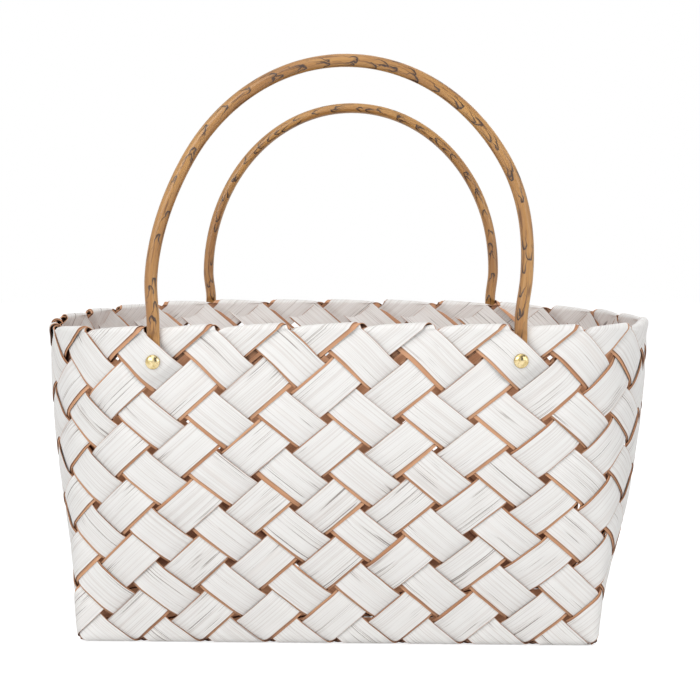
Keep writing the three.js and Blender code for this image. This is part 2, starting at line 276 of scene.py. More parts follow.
def wall(column, row, bend=1.0):
    """The wall's middle surface, with the twist, the tilt and the uneven ends of a basket made by hand."""
    up = 1 - row / ROWS
    out = (up + WALL_BULGE * np.sin(math.pi * up))[..., None]
    turn = np.mod((column - RIM_TWIST - SQUARES_LONG / 2) / COLUMNS, 1)
    top = np.stack([np.interp(turn, RIM_SHARE, RIM_POINTS[:, i]) for i in range(2)], -1)
    softening = corner_softening(column, CORNER_BEND + CORNER_BEND_UPWARD * up)
    low = base_edge(column) + softening * np.asarray(bend)[..., None]
    flat = low * (1 - out) + top * out
    rim_level = WALL_HEIGHT - RIM_DIP * (2 * top[..., 0] / RIM_LENGTH) ** 2
    x, y = flat[..., 0] / (RIM_LENGTH / 2), flat[..., 1] / (RIM_DEPTH / 2)
    aside = END_SHIFT * x**2 * smooth(np.clip(up, 0, 1) * END_SHIFT_RATE)
    tilt = RIM_TILT * y * (1 - TILT_UNEVENNESS * x) * np.clip(up, 0, 1)
    level = FLOOR_LEVEL + (rim_level - FLOOR_LEVEL) * up + tilt
    return np.stack([flat[..., 0] + aside, flat[..., 1], level], -1)


class Edge:
    """One edge of the base: how far out a place of the flat pattern lies beyond it, and in which column."""

    def __init__(self, out, column, outward):
        self.out, self.column = out, column
        self.outward = np.array(outward, float)
        self.onward = np.array([-outward[1], outward[0]])  # the way in which the columns are counted


FRONT = Edge(lambda x, y: -y, lambda x, y: x, (0, -1, 0))
RIGHT = Edge(lambda x, y: x - SQUARES_LONG, lambda x, y: SQUARES_LONG + y, (1, 0, 0))
BACK = Edge(lambda x, y: y - SQUARES_DEEP, lambda x, y: COLUMNS - SQUARES_DEEP - x, (0, 1, 0))
LEFT = Edge(lambda x, y: -x, lambda x, y: COLUMNS - y, (-1, 0, 0))


def surface(x, y, ends):
    """The middle surface of the weave at a place of the pattern, with the edge of the base rounded."""
    on_base = x * SQUARE - BASE_LENGTH / 2, y * SQUARE - BASE_DEPTH / 2
    flat = np.stack([*on_base, np.full_like(x, FLOOR_LEVEL)], -1)
    point = flat
    for edge in ends:
        out = edge.out(x, y)
        climbed = ramp(out, EDGE_BEND)
        bend = smooth((out + EDGE_BEND) / (2 * EDGE_BEND))
        on_edge = flat - edge.outward * (SQUARE * out)[..., None]
        on_wall = wall(edge.column(x, y), ROWS - 2 * climbed, bend)
        risen = on_wall - on_edge - edge.outward * (SQUARE * climbed)[..., None]
        point = point + np.where(out > -EDGE_BEND, 1.0, 0.0)[..., None] * risen
    return point


def unit(v):
    return v / np.linalg.norm(v, axis=-1, keepdims=True)


def surface_normal(x, y, ends, step=0.01):
    """Which way is out of the basket, at a place of the pattern."""
    dx = surface(x + step, y, ends) - surface(x - step, y, ends)
    dy = surface(x, y + step, ends) - surface(x, y - step, ends)
    return unit(np.cross(dy, dx))


# The canes lie behind the strips that come out on top in the rivet row, at these columns.
FRONT_LEGS = [1.5, 6.5]
BACK_LEGS = [14.5, 19.5]


class Strip:
    """One strip of the weave: its line on the pattern, and the crossings that it passes."""

    def __init__(self, rising, index):
        self.rising = rising
        self.number = index + 1
        line = self.line = index + 0.5 - (0 if rising else SQUARES_DEEP)
        starts_front = line < SQUARES_LONG if rising else line > 0
        ends_back = line > SQUARES_DEEP if rising else line < SQUARES_LONG - SQUARES_DEEP
        if rising:
            self.ends = [FRONT if starts_front else RIGHT, BACK if ends_back else LEFT]
            first = 0 if starts_front else line - SQUARES_LONG
            last = SQUARES_DEEP if ends_back else line
        else:
            self.ends = [FRONT if starts_front else LEFT, BACK if ends_back else RIGHT]
            first = 0 if starts_front else -line
            last = SQUARES_DEEP if ends_back else SQUARES_LONG - line
        self.first = round(2 * first) - ROWS
        self.last = round(2 * last) + ROWS
        random = np.random.RandomState(100 * rising + index)
        self.phases = random.uniform(0, 2 * math.pi, 8)
        self.tilt = random.uniform(-1, 1, TILTS)
        self.legs = [self.leg_behind(end) for end in (0, 1)]
        self.upward = [self.side_nearer_rim(end) for end in (0, 1)]
        aside = random.uniform(*INNER_ASIDE, 2)
        downward = random.uniform(0, 1, 2) > ASIDE_UPWARD_SHARE
        way = np.where(downward, 1, -ASIDE_UPWARD_SIZE)
        self.inner_aside = [-up * a * w for up, a, w in zip(self.upward, aside, way)]

    def name(self):
        return f"strip_{'rising' if self.rising else 'falling'}_{self.number:02d}"

    def pattern(self, p, lateral):
        """The place of the pattern, in squares, at a crossing and so many pitches beside the strip's line."""
        if self.rising:
            return self.line + (lateral - p) / 2, (lateral + p) / 2
        return self.line + (p + lateral) / 2, (p - lateral) / 2

    def is_over(self, crossing):
        """Whether this strip is the outer one at a crossing."""
        return (crossing % 2 == 1) == self.rising

    def leg_behind(self, end):
        """The crossing of the rivet row near this end, and its column, where a cane lies behind it."""
        crossing = self.last - RIVET_ROW if end else self.first + RIVET_ROW
        x, y = self.pattern(np.array(float(crossing)), 0.0)
        column = float(self.ends[end].column(x, y))
        for leg in FRONT_LEGS + BACK_LEGS:
            if abs((column - leg + 1) % COLUMNS - 1) < 0.1 and self.is_over(crossing):
                return crossing, column
        return None

    def side_nearer_rim(self, end):
        """Which side of the strip lies nearer to the rim at this end: 1 or -1."""
        upper, lower = (self.ends[end].out(*self.pattern(0.0, side)) for side in (0.1, -0.1))
        return 1 if upper > lower else -1

    def inner_bias(self, p):
        """How far the inner ply lies to one side of the outer one, mostly to the lower side on a wall."""
        share = smooth((p - self.first - ROWS + 1) / (self.last - self.first - 2 * ROWS + 2))
        return self.inner_aside[0] * (1 - share) + self.inner_aside[1] * share

    def wander(self, p, which):
        """Slow waves along the strip, between -1 and 1."""
        a, b = self.phases[2 * which], self.phases[2 * which + 1]
        return 0.6 * np.sin(0.8 * p + a) + 0.4 * np.sin(1.9 * p + b)

    def lift(self, x, y, p):
        """How far a strip is lifted, as a share, by the cane behind it."""
        total = 0.0
        for leg, edge in zip(self.legs, self.ends):
            if leg is None:
                continue
            aside = edge.column(x, y) - leg[1] - LEG_ASIDE
            above = edge.out(x, y) - (ROWS - RIVET_ROW) / 2
            ridge = np.cos(np.clip(aside / RIDGE_HALF, -1, 1) * math.pi / 2) ** 2
            lower = smooth((above + RIDGE_BELOW) / RIDGE_BELOW_FADE)
            upper = smooth((RIDGE_ABOVE - above) / RIDGE_ABOVE_FADE)
            window = smooth((RIDGE_ALONG - np.abs(p - leg[0])) / RIDGE_ALONG_FADE)
            total = total + ridge * (lower * upper) * window
        return total

    def level(self, p, v, lateral):
        """Height of the strip over the middle surface, over one crossing and under the next."""
        x, y = self.pattern(p, lateral)
        out = np.maximum(self.ends[0].out(x, y), self.ends[1].out(x, y))
        on_wall = smooth(out / WALL_WAVES_FROM)
        height = WAVE_ON_BASE + (WAVE_ON_WALL - WAVE_ON_BASE) * on_wall
        steep = STEEP_ON_BASE + (STEEP_ON_WALL - STEEP_ON_BASE) * on_wall
        held = np.clip(p, self.first, self.last)
        wave = np.cos(math.pi * (held - (1 if self.rising else 0)))
        level = height * np.tanh(steep * wave) / np.tanh(steep)
        over = np.clip(wave, 0, 1) ** 2 * on_wall
        tilt = self.tilt[np.clip(np.round(held).astype(int) + TILT_MIDDLE, 0, TILTS - 1)]
        level = level - CUPPING * over * v**2 + TIPPING * tilt * v * over
        return level + COVER_LIFT * self.lift(x, y, p)


ACROSS = np.linspace(-1, 1, PLACES_ACROSS)


def ply_stations(strip, outer):
    """A ply from end to end: the middle of its sheet, the sheet's normal and the length along it."""
    half = (OUTER_WIDTH if outer else INNER_WIDTH) / 2 / PITCH
    offset = PLY_OFFSET if outer else -PLY_OFFSET

    def lateral_at(p):
        if outer:
            aside = OUTER_WANDER * strip.wander(p, 0)
        else:
            aside = strip.inner_bias(p) + INNER_WANDER * strip.wander(p, 1)
        return aside / PITCH + ACROSS * half * (1 + WIDTH_WANDER * strip.wander(p, 2))

    def lay(p, lateral):
        x, y = strip.pattern(p, lateral)
        return surface(x, y, strip.ends), surface_normal(x, y, strip.ends), strip.level(p, ACROSS, lateral)

    start, stop = strip.first + END_BEGINS, strip.last - END_BEGINS
    p = np.linspace(start, stop, int((stop - start) * PLACES_PER_CROSSING) + 1)[:, None]
    lateral = lateral_at(p)
    shifting = 2 * END_BEGINS
    for end, near in ((0, smooth(1 - (p - start) / shifting)), (1, smooth(1 - (stop - p) / shifting))):
        lateral = lateral + near * (rim_lateral(strip, end, lateral_at) - lateral)
    p = p + 0 * lateral
    point, normal, level = lay(p, lateral)
    middle = [point + normal * (level + offset)[..., None]]
    normals, along = [normal], [p * PITCH]
    for end in (0, 1):
        part = ply_end(strip, end, lateral_at, lay, offset)
        for whole, piece in zip((middle, normals, along), part):
            if end:
                whole.append(piece)
            else:
                whole.insert(0, piece[::-1])
    return np.vstack(middle), np.vstack(normals), np.vstack(along), half * PITCH


def rim_lateral(strip, end, lateral_at):
    """The places across a strip at its end, which lies a little nearer to the rim than the pattern has it."""
    return lateral_at(float(strip.last if end else strip.first)) + strip.upward[end] * RIM_SHIFT / PITCH


def ply_end(strip, end, lateral_at, lay, offset):
    """From beside the last crossing up to the rim, over it, and down the inside to the tucked end."""
    sense = 1 if end else -1
    crossing = strip.last if end else strip.first
    edge = strip.ends[end]
    over = strip.is_over(crossing)
    lateral = rim_lateral(strip, end, lateral_at)
    x, y = strip.pattern(float(crossing), lateral)
    fold = crossing + sense * 2 * (RIM_OUT - edge.out(x, y))
    near = crossing - sense * END_BEGINS
    t = np.linspace(0, 1, PLACES_TO_RIM)[1:, None]
    p = near + (fold - near) * t
    point, normal, level = lay(p, lateral + 0 * p)
    far = (1 + np.sign((fold[-1] - fold[0]) * sense) * ACROSS) / 2
    bend = CURL * far**2 - PINNED * (1 - far) ** 2 if over else PINNED * (1 - far) ** 2
    level = level + bend * smooth(2 * t - 1)
    middle = [point + normal * (level + offset)[..., None]]
    normals, along = [normal], [p * PITCH]

    # A strip that folds on the slant also moves along the rim, as far as it goes round the fold.
    height = level[-1]
    radius = height + FOLD_DEPTH + offset
    travel = sense * np.sign(edge.column(*strip.pattern(1.0, 0.0)) - edge.column(*strip.pattern(0.0, 0.0)))
    turn = travel * np.mean(radius - offset) / RIM_PITCH
    angle = np.linspace(0, math.pi, PLACES_ROUND_FOLD)[1:-1, None]
    x, y = strip.pattern(fold, lateral)
    x, y = x + edge.onward[0] * turn * angle, y + edge.onward[1] * turn * angle
    top = surface(x, y, strip.ends)
    facing = surface_normal(x, y, strip.ends)
    step = 0.02 * edge.outward
    rise = unit(top - surface(x - step[0], y - step[1], strip.ends))
    way = facing * np.cos(angle)[..., None] + rise * np.sin(angle)[..., None]
    middle.append(top - facing * FOLD_DEPTH + way * radius[:, None])
    normals.append(way)
    along.append(fold * PITCH + sense * GRAIN_ROUND_FOLD * angle)

    tail_end = crossing + sense * ((1 if over else 2) - TAIL_SHORTENED)
    t = np.linspace(0, 1, PLACES_IN_TAIL * (1 if over else 2))[:, None]
    p = fold + (tail_end - fold) * t
    x, y = strip.pattern(p, lateral)
    back = 2 * (edge.out(x, y) - RIM_OUT)
    x = x - edge.outward[0] * back + edge.onward[0] * turn * math.pi
    y = y - edge.outward[1] * back + edge.onward[1] * turn * math.pi
    beyond = np.abs(p - crossing)
    if over:
        level = height + (TAIL_LOW - height) * fade(beyond, TOP_SINKS)
    else:
        level = height + (TAIL_HIGH - height) * fade(beyond, UNDER_SINKS)
        level = level + (TAIL_LOW - level) * fade(beyond, UNDER_TUCKS)
    normal = surface_normal(x, y, strip.ends)
    middle.append(surface(x, y, strip.ends) - normal * (2 * FOLD_DEPTH + level + offset)[..., None])
    normals.append(-normal)
    along.append(p * PITCH + sense * GRAIN_ROUND_FOLD * math.pi)
    return np.vstack(middle), np.vstack(normals), np.vstack(along)


def scene_object(name, data):
    """A new object, put into the scene."""
    obj = bpy.data.objects.new(name, data)
    bpy.context.scene.collection.objects.link(obj)
    return obj


def mesh_object(name, points, quads, materials, uv, crease, kinds=None):
    """An object of four-sided faces, from points in millimetres."""
    mesh = bpy.data.meshes.new(name)
    mesh.vertices.add(len(points))
    mesh.vertices.foreach_set("co", np.ascontiguousarray(points * MM, np.float32).ravel())
    mesh.loops.add(4 * len(quads))
    mesh.loops.foreach_set("vertex_index", np.ascontiguousarray(quads, np.int32).ravel())
    mesh.polygons.add(len(quads))
    mesh.polygons.foreach_set("loop_start", np.arange(0, 4 * len(quads), 4, dtype=np.int32))
    mesh.update(calc_edges=True)
    for material in materials:
        mesh.materials.append(material)
    if kinds is not None:
        mesh.polygons.foreach_set("material_index", np.ascontiguousarray(kinds, np.int32))
    layer = mesh.uv_layers.new(name="UVMap")
    layer.data.foreach_set("uv", np.ascontiguousarray(uv, np.float32).ravel())
    mesh.polygons.foreach_set("use_smooth", np.ones(len(quads), bool))
    mesh.set_sharp_from_angle(angle=math.radians(crease))
    return scene_object(name, mesh)


def tube_quads(rings, sides):
    """Faces of a tube of rings, and of its two flat ends."""
    i, j = np.meshgrid(np.arange(rings - 1), np.arange(sides), indexing="ij")
    k = (j + 1) % sides
    this, onward = i * sides, (i + 1) * sides
    body = np.stack([this + j, onward + j, onward + k, this + k], -1).reshape(-1, 4)
    a = np.arange(sides // 2 - 1)
    cap = np.stack([a, a + 1, sides - 2 - a, sides - 1 - a], -1)
    return body, cap, cap[:, ::-1] + (rings - 1) * sides


def strip_object(strip, paint, raw):
    """Both plies of a strip: the outer one painted on its face, the inner one left raw."""
    points, quads, kinds, uvs = [], [], [], []
    count = 0
    n = len(ACROSS)
    for outer in (True, False):
        middle, normal, along, half = ply_stations(strip, outer)
        rings = len(middle)
        upper, lower = middle + normal * (PLY_THICKNESS / 2), middle - normal * (PLY_THICKNESS / 2)
        points.append(np.concatenate([upper, lower[:, ::-1]], 1).reshape(-1, 3))
        body, first, last = tube_quads(rings, 2 * n)
        shift = STRIPS_APART * strip.number
        shift += (FAMILIES_APART if strip.rising else 0) + (0 if outer else PLIES_APART)
        u = np.concatenate([along, along[:, ::-1]], 1) * MM + shift
        v = np.concatenate([ACROSS, ACROSS[::-1]]) * half * MM + np.repeat([0, FACES_APART], n)
        place = np.stack([u, np.broadcast_to(v, u.shape)], -1).reshape(-1, 2)
        column = np.arange(len(body)) % (2 * n)
        kind = np.ones(len(body) + len(first) + len(last), int)
        kind[: len(body)][column < n - 1] = 0 if outer else 1
        corners = place[np.vstack([body, first, last])]
        edges = np.isin(column, (n - 1, 2 * n - 1))
        for corner in (2, 3):
            corners[: len(body)][edges, corner, 1] = corners[: len(body)][edges, 0, 1] + PLY_THICKNESS * MM
        quads.append(np.vstack([body, first, last]) + count)
        kinds.append(kind)
        uvs.append(corners)
        count += rings * 2 * n
    return mesh_object(strip.name() + "_plies", np.vstack(points), np.vstack(quads), [paint, raw],
                       np.concatenate(uvs), STRIP_CREASE, np.concatenate(kinds))


# Handles and rivets


def rivet_frame(leg):
    """The CAD's frame of a rivet: its place on the wall, outward as Y and upward as Z."""
    column, row = np.array(leg + LEG_ASIDE), np.array(float(RIVET_ROW))
    step = 0.05
    point = wall(column, row)
    right = wall(column + step, row) - wall(column - step, row)
    up = wall(column, row - step) - point
    outward = unit(np.cross(right, up))
    along = unit(np.cross(outward, up))
    to_rim = np.linalg.norm(wall(column, row * 0) - point)
    return {"point": point, "x": along, "y": outward, "z": np.cross(along, outward), "to_rim": to_rim}


def at(f, x, y, z):
    """A point given in the frame of a rivet."""
    return f["point"] + f["x"] * x + f["y"] * y + f["z"] * z


def bezier(a, b, c, d, n):
    t = np.linspace(0, 1, n)[:, None]
    return a * (1 - t) ** 3 + 3 * b * t * (1 - t) ** 2 + 3 * c * t**2 * (1 - t) + d * t**3


def handle_line(left, right):
    """The middle of the cane, as the CAD has it but for its sway, and the length along it."""
    middle = (TONGUE_INNER + TONGUE_OUTER) / 2
    knee = left["to_rim"] + SHAVE_ABOVE_RIM
    centre = (at(left, 0, middle, knee) + at(right, 0, middle, knee)) / 2
    half, top = ARCH_WIDTH / 2, HANDLE_HEIGHT - CANE_DIAMETER / 2
    across = unit((right["point"] - left["point"]) * np.array([1, 0, 0]))
    pull = 0.5523

    def arch(side, height):
        return np.array([centre[0], centre[1], height]) + across * side * half

    low = ARCH_WIDEST_HEIGHT
    sides = []
    for f, side in ((left, -1), (right, 1)):
        reach = (low - at(f, 0, middle, knee)[2]) / 3
        line = bezier(at(f, 0, middle, -TONGUE_BELOW_RIVET), at(f, 0, middle, 0), at(f, 0, middle, knee / 2),
                      at(f, 0, middle, knee), PLACES_IN_TONGUE)
        climb = bezier(at(f, 0, middle, knee), at(f, 0, middle, knee + reach), arch(side, low - reach),
                       arch(side, low), PLACES_IN_CLIMB)
        crown = bezier(arch(side, low), arch(side, low + pull * (top - low)), arch(side * pull, top),
                       arch(0, top), PLACES_IN_CROWN)
        sides.append(np.vstack([line[:-1], climb[:-1], crown]))
    parts = np.vstack([sides[0], sides[1][::-1][1:]])
    share = (parts[:, 2] - centre[2]) / (top - centre[2])
    parts[:, 0] += (FRONT_SWAY if centre[1] < 0 else BACK_SWAY) * smooth(SWAY_RATE * share)
    length = np.concatenate([[0], np.cumsum(np.linalg.norm(np.diff(parts, axis=0), axis=1))])
    even = np.linspace(0, length[-1], CANE_PLACES)
    return np.stack([np.interp(even, length, parts[:, i]) for i in range(3)], -1), even


def handle_object(name, left, right, seed, material):
    """A bent cane, a little uneven in thickness, with both ends shaved flat behind the strips."""
    line, length = handle_line(left, right)
    way = unit(np.gradient(line, axis=0))
    outward = unit((left["y"] + right["y"]) * np.array([1, 1, 0]))
    side = unit(np.cross(way, outward))
    front = np.cross(side, way)
    around = np.linspace(0, 2 * math.pi, CANE_SIDES + 1)[:-1] + math.pi / 2
    random = np.random.RandomState(seed)
    waves = [random.uniform(0.2, 1) * np.sin(length / w + random.uniform(0, 6)) for w in CANE_WAVES]
    radius = CANE_DIAMETER / 2 * (1 + CANE_UNEVENNESS * (sum(waves) / len(waves)))
    tip = np.minimum(length, length[-1] - length)
    radius = radius * np.sqrt(1 - (1 - np.clip(tip / CANE_TIP, 0.02, 1)) ** 2)
    points = line[:, None] + radius[:, None, None] * (
        np.cos(around)[None, :, None] * front[:, None] + np.sin(around)[None, :, None] * side[:, None])
    for f in (left, right):
        local = points - f["point"]
        depth, height = local @ f["y"], local @ f["z"]
        near = np.abs(local @ f["x"]) < SHAVE_REACH
        over_rim = height - f["to_rim"]
        inner = smooth((over_rim - SHAVE_ABOVE_RIM + SHAVE_LEAD) / SHAVE_LENGTH)
        outer = smooth((over_rim + SHAVE_LEAD) / SHAVE_LENGTH)
        wanted = np.clip(depth, TONGUE_INNER - SHAVE_DEPTH * inner, TONGUE_OUTER + SHAVE_DEPTH * outer)
        points = points + np.where(near, wanted - depth, 0)[..., None] * f["y"]
    n, rings = len(around), len(line)
    body, first, last = tube_quads(rings, n)
    quads = np.vstack([body, first, last])[:, ::-1]
    u, v = np.meshgrid(length * MM, np.arange(n) / n, indexing="ij")
    uv = np.stack([u, v], -1).reshape(-1, 2)[quads]
    seam = np.zeros(len(quads), bool)
    seam[: len(body)] = np.arange(len(body)) % n == n - 1
    uv[..., 1] = np.where(seam[:, None] & (uv[..., 1] == 0), 1.0, uv[..., 1])
    return mesh_object(name, points.reshape(-1, 3), quads, [material], uv, CANE_CREASE)


def turned_object(name, profile, f, material):
    """A solid of revolution about a rivet's axis. Its profile runs from axis to axis, or closes on itself."""
    sides = TURNED_SIDES
    angles = np.linspace(0, 2 * math.pi, sides + 1)[:-1]
    points, index = [], []
    for r, h in profile:
        if r == 0:
            index.append([len(points)] * sides)
            points.append(at(f, 0, h, 0))
            continue
        index.append(list(range(len(points), len(points) + sides)))
        points += [at(f, r * math.cos(a), h, r * math.sin(a)) for a in angles]
    faces = []
    closed = profile[0] == profile[-1] and profile[0][0] > 0
    if closed:
        points = points[:-sides]
        index[-1] = index[0]
    for low, high in zip(index, index[1:]):
        for j in range(sides):
            k = (j + 1) % sides
            face = [low[j], low[k], high[k], high[j]]
            kept = [p for i, p in enumerate(face) if p not in face[:i]]
            if len(kept) > 2:
                faces.append(tuple(kept))
    mesh = bpy.data.meshes.new(name)
    mesh.from_pydata((np.array(points) * MM).tolist(), [], faces)
    mesh.materials.append(material)
    mesh.polygons.foreach_set("use_smooth", [True] * len(mesh.polygons))
    mesh.set_sharp_from_angle(angle=math.radians(METAL_CREASE))
    return scene_object(name, mesh)


def rivet_profile():
    """A rivet's outline as radius and height, from the clinched tail inside to the domed head outside."""
    head, shank, clinch = RIVET_HEAD_DIAMETER / 2, SHANK_DIAMETER / 2, CLINCH_DIAMETER / 2
    clinch_top = WASHER_TOP - WASHER_THICKNESS - CLEARANCE
    low = clinch_top - CLINCH_HEIGHT
    profile = [(0, low)]
    for a in np.linspace(0, math.pi / 2, PLACES_IN_CLINCH):
        r, h = clinch - CLINCH_EDGE + CLINCH_EDGE * math.sin(a), low + CLINCH_EDGE - CLINCH_EDGE * math.cos(a)
        profile.append((r, h))
    profile += [(clinch, clinch_top), (shank, clinch_top), (shank, HEAD_BASE)]
    profile += [(head - HEAD_CHAMFER, HEAD_BASE), (head - HEAD_LIP, HEAD_BASE + HEAD_LIP_HEIGHT)]
    for a in np.linspace(0, math.pi / 2, PLACES_IN_DOME)[:-1]:
        dome = (RIVET_HEAD_HEIGHT - HEAD_EDGE) * math.sin(a)
        profile.append((head * math.cos(a), HEAD_BASE + HEAD_EDGE + dome))
    profile.append((0, HEAD_BASE + RIVET_HEAD_HEIGHT))
    return profile


def washer_profile():
    """A washer's outline as radius and height, closed on itself."""
    inner, outer, top = SHANK_DIAMETER / 2 + CLEARANCE, WASHER_DIAMETER / 2, WASHER_TOP
    low, bevel = top - WASHER_THICKNESS, WASHER_BEVEL
    profile = [(inner, low), (outer - bevel, low), (outer, low + bevel), (outer, top - bevel)]
    return profile + [(outer - bevel, top), (inner, top), (inner, low)]


# Materials


def srgb(r, g, b):
    """A colour as it is seen on a screen, from 0 to 255, made linear."""
    shares = [c / 255 for c in (r, g, b)]
    return tuple(s / 12.92 if s <= 0.04045 else ((s + 0.055) / 1.055) ** 2.4 for s in shares) + (1,)


PAINT = srgb(243, 241, 238)
PAINT_GRAIN = srgb(216, 209, 204)
PAINT_LINES = srgb(214, 206, 200)
PAINT_BANDS = srgb(235, 226, 220)
PAINT_DASHES = srgb(140, 124, 114)
PAINT_CRACKS = srgb(104, 84, 72)
WORN_EDGE = srgb(176, 124, 88)
CHIP_LIGHT = srgb(220, 167, 128)
CHIP_DARK = srgb(194, 139, 101)
CHIP_GRAIN = srgb(156, 104, 70)
CHIP_IN_PAINTED_SHADE = srgb(88, 48, 32)
CHIP_IN_PAINTED_DEEP_SHADE = srgb(62, 32, 20)
CANE_LIGHT = srgb(196, 146, 83)
CANE_DARK = srgb(168, 118, 64)
CANE_FIBRES = srgb(150, 98, 50)
CANE_STREAKS = srgb(104, 66, 38)
CANE_MARKS = srgb(46, 28, 26)
BRASS_LIGHT = srgb(222, 204, 160)
BRASS_DARK = srgb(190, 166, 110)


class Graph:
    """The nodes of a material or of the world, made one call each."""

    def __init__(self, owner, shader="Principled BSDF", output="Material Output"):
        self.owner = owner
        owner.use_nodes = True
        self.tree = owner.node_tree
        self.shader = self.tree.nodes[shader]
        self.surface = self.tree.nodes[output].inputs["Surface"]

    def put(self, socket, value):
        if isinstance(value, bpy.types.NodeSocket):
            self.tree.links.new(value, socket)
        else:
            socket.default_value = value

    def node(self, kind, inputs=(), **settings):
        made = self.tree.nodes.new(kind)
        for key, value in settings.items():
            setattr(made, key, value)
        for key, value in dict(inputs).items():
            self.put(made.inputs[key], value)
        return made

    def uv(self, along, across, offset=0.0):
        place = self.node("ShaderNodeUVMap", uv_map="UVMap").outputs[0]
        scale = {"Vector": place, "Scale": (along, across, 1), "Location": (offset, offset, 0)}
        return self.node("ShaderNodeMapping", scale).outputs[0]

    def uv_part(self, axis):
        place = self.node("ShaderNodeUVMap", uv_map="UVMap").outputs[0]
        return self.node("ShaderNodeSeparateXYZ", {"Vector": place}).outputs[axis]

    def noise(self, vector, detail, roughness, distortion=0.0):
        inputs = {"Vector": vector, "Scale": 1.0, "Detail": detail, "Roughness": roughness}
        inputs["Distortion"] = distortion
        return self.node("ShaderNodeTexNoise", inputs).outputs["Fac"]

    def step(self, value, low, high, to_low=0.0, to_high=1.0):
        inputs = {"Value": value, "From Min": low, "From Max": high, "To Min": to_low, "To Max": to_high}
        return self.node("ShaderNodeMapRange", inputs, interpolation_type="SMOOTHSTEP").outputs["Result"]

    def math(self, operation, a, b=0.0):
        return self.node("ShaderNodeMath", {0: a, 1: b}, operation=operation).outputs[0]

    def mix(self, factor, a, b):
        made = self.node("ShaderNodeMix", data_type="RGBA")
        self.put(made.inputs["Factor"], factor)
        self.put(made.inputs[6], a)
        self.put(made.inputs[7], b)
        return made.outputs[2]

    def bump(self, height, strength, distance):
        inputs = {"Height": height, "Strength": strength, "Distance": distance}
        return self.node("ShaderNodeBump", inputs).outputs[0]

    def finish(self, **inputs):
        for key, value in inputs.items():
            self.put(self.shader.inputs[key.replace("_", " ")], value)
        return self.owner

    def seen_directly(self):
        """1 for rays from the camera, and for those mirrored or let through on their way, else 0."""
        path = self.node("ShaderNodeLightPath").outputs
        reflected = self.math("MAXIMUM", path["Is Glossy Ray"], path["Is Transmission Ray"])
        return self.math("MAXIMUM", path["Is Camera Ray"], reflected)


def painted_wood():
    """White paint over grain, with dark dashes and cracks in patches, and edges worn to the wood."""
    g = Graph(bpy.data.materials.new("painted_wood"))
    fine = g.noise(g.uv(9, 1500), 2, 0.5)
    lines = g.noise(g.uv(7, 700, 3.1), 2, 0.5)
    bands = g.noise(g.uv(6, 130, 7.7), 3, 0.5)
    patches = g.noise(g.uv(17, 110, 1.3), 2, 0.5)
    cracks = g.noise(g.uv(6, 950, 5.9), 0, 0.4)
    dashes = g.noise(g.uv(16, 1700, 9.3), 0, 0.4)
    color = g.mix(g.step(fine, 0.5, 0.62, 0.0, 0.5), PAINT, PAINT_GRAIN)
    color = g.mix(g.step(lines, 0.56, 0.66, 0.0, 0.4), color, PAINT_LINES)
    color = g.mix(g.step(bands, 0.52, 0.78, 0.0, 0.3), color, PAINT_BANDS)
    dashed = g.math("MULTIPLY", g.step(dashes, 0.68, 0.71), g.step(patches, 0.5, 0.6))
    color = g.mix(g.math("MULTIPLY", dashed, 0.6), color, PAINT_DASHES)
    cracked = g.math("MULTIPLY", g.step(cracks, 0.67, 0.72), g.step(patches, 0.54, 0.62))
    color = g.mix(g.math("MULTIPLY", cracked, 0.75), color, PAINT_CRACKS)
    across = g.math("ABSOLUTE", g.uv_part("Y"))
    worn = g.math("ADD", across, g.step(bands, 0.3, 0.7, -0.00012, 0.00012))
    half = OUTER_WIDTH / 2 * MM
    color = g.mix(g.step(worn, half - 0.0004, half - 0.00015, 0.0, 0.85), color, WORN_EDGE)
    height = g.math("ADD", g.math("MULTIPLY", fine, 0.5), g.math("MULTIPLY", lines, 0.5))
    height = g.math("SUBTRACT", height, g.math("MULTIPLY", cracked, 0.9))
    return g.finish(Base_Color=color, Roughness=0.62, Normal=g.bump(height, 0.22, 0.0003))


def raw_wood():
    """Tan wood chip, with painted shade: darker inside the basket and darkest deep between two strips."""
    g = Graph(bpy.data.materials.new("raw_wood"))
    fine = g.noise(g.uv(30, 1400, 2.2), 3, 0.6)
    bands = g.noise(g.uv(12, 160, 4.4), 3, 0.5)
    color = g.mix(g.step(bands, 0.35, 0.7), CHIP_LIGHT, CHIP_DARK)
    color = g.mix(g.step(fine, 0.5, 0.75, 0.0, 0.6), color, CHIP_GRAIN)
    # Painted shade: the chip is darkened where a wide AO finds little open space, mostly on the walls inside
    # the basket.
    inside = g.node("ShaderNodeAmbientOcclusion", {"Distance": 0.35}, samples=8).outputs["AO"]
    color = g.mix(g.step(inside, 0.2, 0.48, 0.7, 0.0), color, CHIP_IN_PAINTED_SHADE)
    # Painted shade: the chip is darkened most in narrow gaps and holes between strips, where a short AO finds
    # it closed in.
    open_share = g.node("ShaderNodeAmbientOcclusion", {"Distance": 0.012}, samples=8).outputs["AO"]
    color = g.mix(g.step(open_share, 0.3, 0.66, 0.92, 0.0), color, CHIP_IN_PAINTED_DEEP_SHADE)
    return g.finish(Base_Color=color, Roughness=0.7, Normal=g.bump(fine, 0.3, 0.0004))


